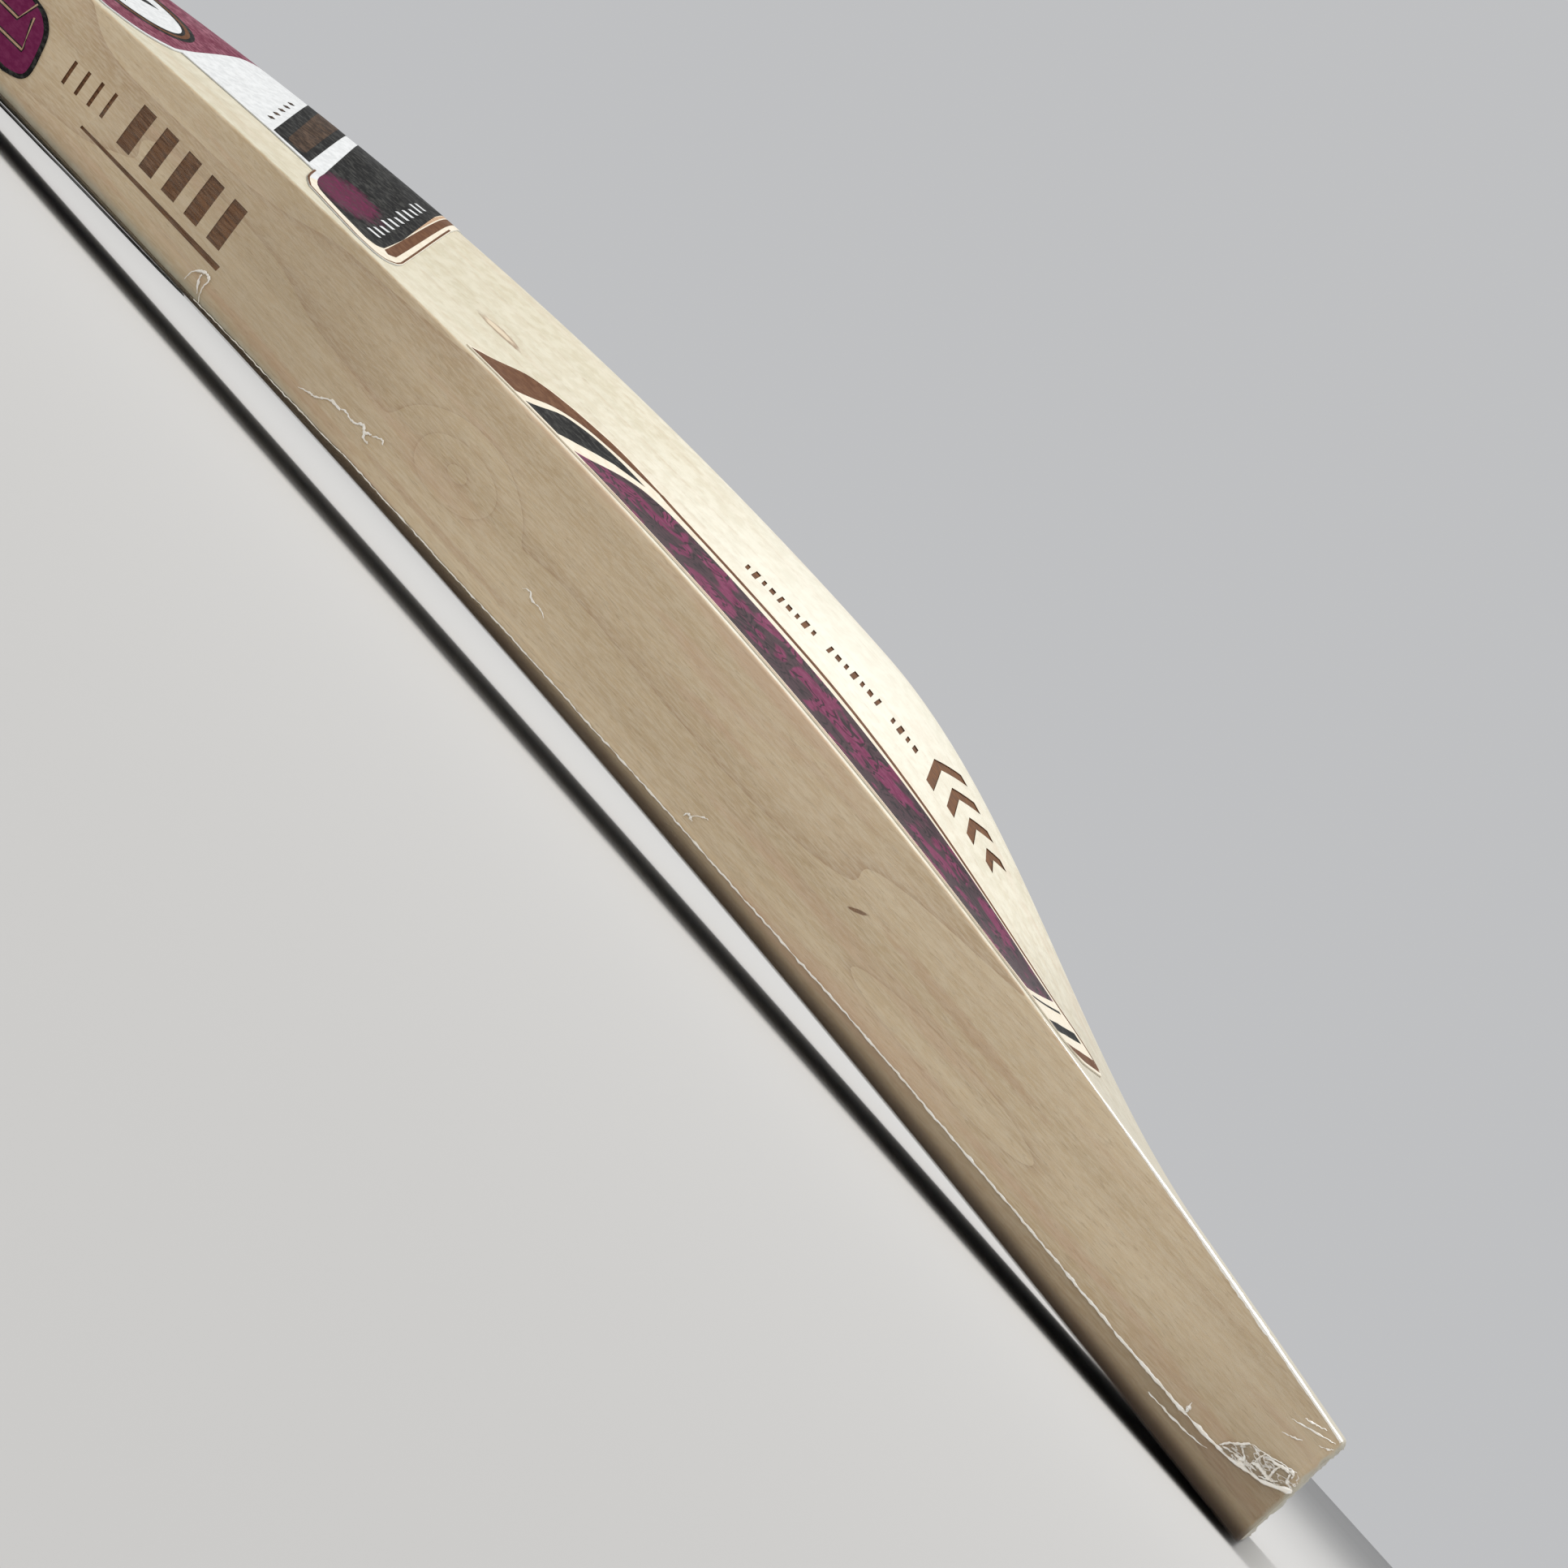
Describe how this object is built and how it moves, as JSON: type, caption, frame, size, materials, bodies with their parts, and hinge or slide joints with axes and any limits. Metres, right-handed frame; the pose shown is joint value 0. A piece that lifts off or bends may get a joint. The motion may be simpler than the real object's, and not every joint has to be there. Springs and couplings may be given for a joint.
{
  "type": "cricket bat",
  "caption": "Willow cricket bat with a bowed, ridged blade, a round cane handle spliced in by a V joint, a rubber grip, and clear protective sheets and printed labels.",
  "frame": {"origin": "middle of the footprint, on the plane that the toe and the grip rest on when the bat lies on its face", "axes": "+X along the bat towards the toe, +Y across the blade, +Z from the face up through the spine"},
  "size_m": [0.85, 0.1088, 0.0726],
  "materials": {
    "willow": "sanded and lightly oiled",
    "cane": "sanded",
    "spring_rubber": "cut",
    "twine": "waxed",
    "grip_rubber": "moulded",
    "collar": "black tape, worn smooth",
    "clear_sheet": "clear, fibre reinforced",
    "clear_film": "clear",
    "label_print": "printed and laminated"
  },
  "bodies": {
    "root": {"blade": "willow", "cane_row1_left": "cane", "cane_row1_middle": "cane", "cane_row1_right": "cane", "cane_row2_left": "cane", "cane_row2_middle": "cane", "cane_row2_right": "cane", "cane_row3_left": "cane", "cane_row3_middle": "cane", "cane_row3_right": "cane", "cane_row4_left": "cane", "cane_row4_middle": "cane", "cane_row4_right": "cane", "spring_strip_face": "spring_rubber", "spring_strip_centre": "spring_rubber", "spring_strip_back": "spring_rubber", "twine_binding": "twine", "rubber_grip": "grip_rubber", "collar_tape": "collar", "face_sheet": "clear_sheet", "edge_film_left": "clear_film", "edge_film_right": "clear_film", "back_label_upper": "label_print", "back_label_lower_left": "label_print", "back_label_lower_right": "label_print", "edge_label_left": "label_print", "edge_label_right": "label_print", "face_label": "label_print"}
  },
  "joints": []
}
